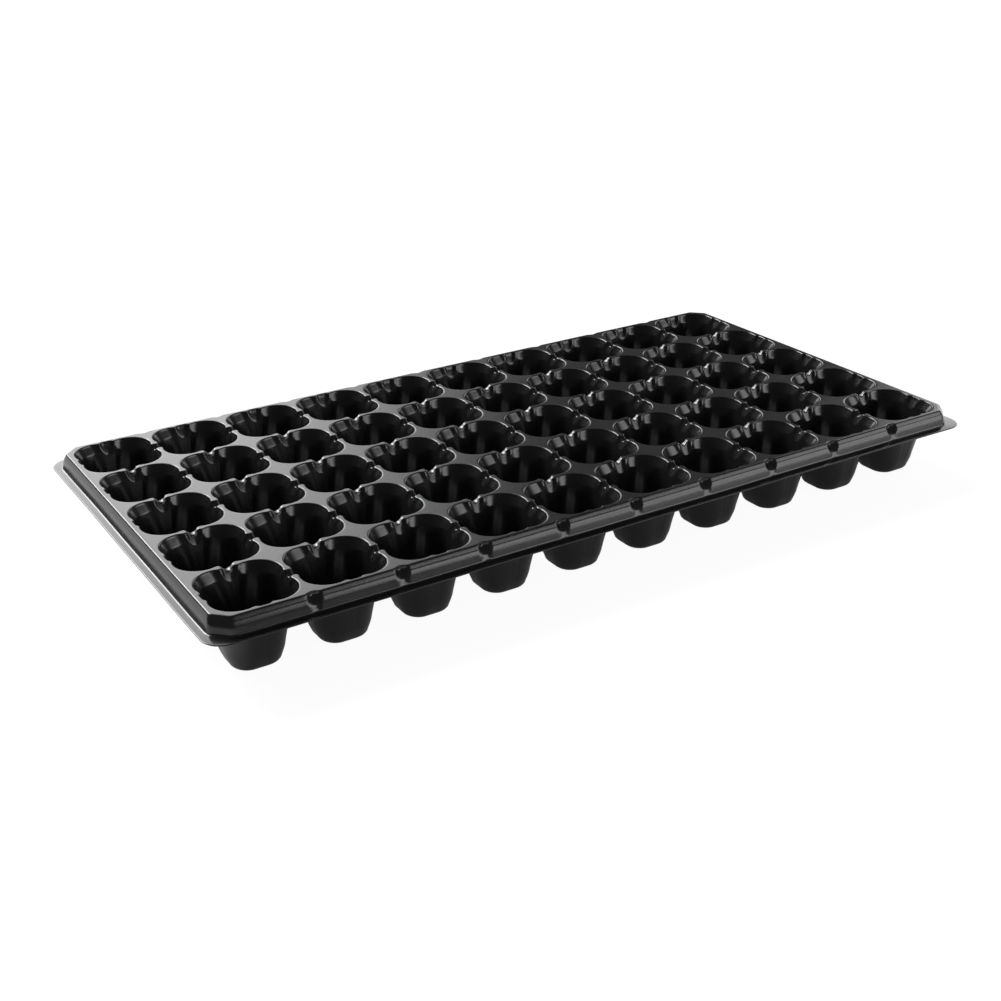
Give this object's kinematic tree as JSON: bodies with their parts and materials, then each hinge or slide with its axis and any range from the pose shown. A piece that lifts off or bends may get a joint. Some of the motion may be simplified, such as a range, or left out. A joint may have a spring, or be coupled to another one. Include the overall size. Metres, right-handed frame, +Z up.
{
  "type": "plug tray",
  "caption": "Shallow rectangular propagation tray of thin formed plastic: a grid of tapered rounded-square cells with drain holes, inside a sloping skirt and a flat carrying flange.",
  "frame": {"origin": "middle of the tray on the plane of the undersides of the cell feet", "axes": "+X along the long side (columns 1 to 10), +Y from the front long side to the back one (rows 1 to 5), +Z up out of the cells' mouths"},
  "size_m": [0.54, 0.28, 0.045],
  "materials": {
    "formed_sheet": "satin"
  },
  "bodies": {
    "root": {"cell_r1_c1": "formed_sheet", "cell_r1_c2": "formed_sheet", "cell_r1_c3": "formed_sheet", "cell_r1_c4": "formed_sheet", "cell_r1_c5": "formed_sheet", "cell_r1_c6": "formed_sheet", "cell_r1_c7": "formed_sheet", "cell_r1_c8": "formed_sheet", "cell_r1_c9": "formed_sheet", "cell_r1_c10": "formed_sheet", "cell_r2_c1": "formed_sheet", "cell_r2_c2": "formed_sheet", "cell_r2_c3": "formed_sheet", "cell_r2_c4": "formed_sheet", "cell_r2_c5": "formed_sheet", "cell_r2_c6": "formed_sheet", "cell_r2_c7": "formed_sheet", "cell_r2_c8": "formed_sheet", "cell_r2_c9": "formed_sheet", "cell_r2_c10": "formed_sheet", "cell_r3_c1": "formed_sheet", "cell_r3_c2": "formed_sheet", "cell_r3_c3": "formed_sheet", "cell_r3_c4": "formed_sheet", "cell_r3_c5": "formed_sheet", "cell_r3_c6": "formed_sheet", "cell_r3_c7": "formed_sheet", "cell_r3_c8": "formed_sheet", "cell_r3_c9": "formed_sheet", "cell_r3_c10": "formed_sheet", "cell_r4_c1": "formed_sheet", "cell_r4_c2": "formed_sheet", "cell_r4_c3": "formed_sheet", "cell_r4_c4": "formed_sheet", "cell_r4_c5": "formed_sheet", "cell_r4_c6": "formed_sheet", "cell_r4_c7": "formed_sheet", "cell_r4_c8": "formed_sheet", "cell_r4_c9": "formed_sheet", "cell_r4_c10": "formed_sheet", "cell_r5_c1": "formed_sheet", "cell_r5_c2": "formed_sheet", "cell_r5_c3": "formed_sheet", "cell_r5_c4": "formed_sheet", "cell_r5_c5": "formed_sheet", "cell_r5_c6": "formed_sheet", "cell_r5_c7": "formed_sheet", "cell_r5_c8": "formed_sheet", "cell_r5_c9": "formed_sheet", "cell_r5_c10": "formed_sheet", "skirt_front": "formed_sheet", "flange_front": "formed_sheet", "skirt_back": "formed_sheet", "flange_back": "formed_sheet", "skirt_left": "formed_sheet", "flange_left": "formed_sheet", "skirt_right": "formed_sheet", "flange_right": "formed_sheet"}
  },
  "joints": []
}
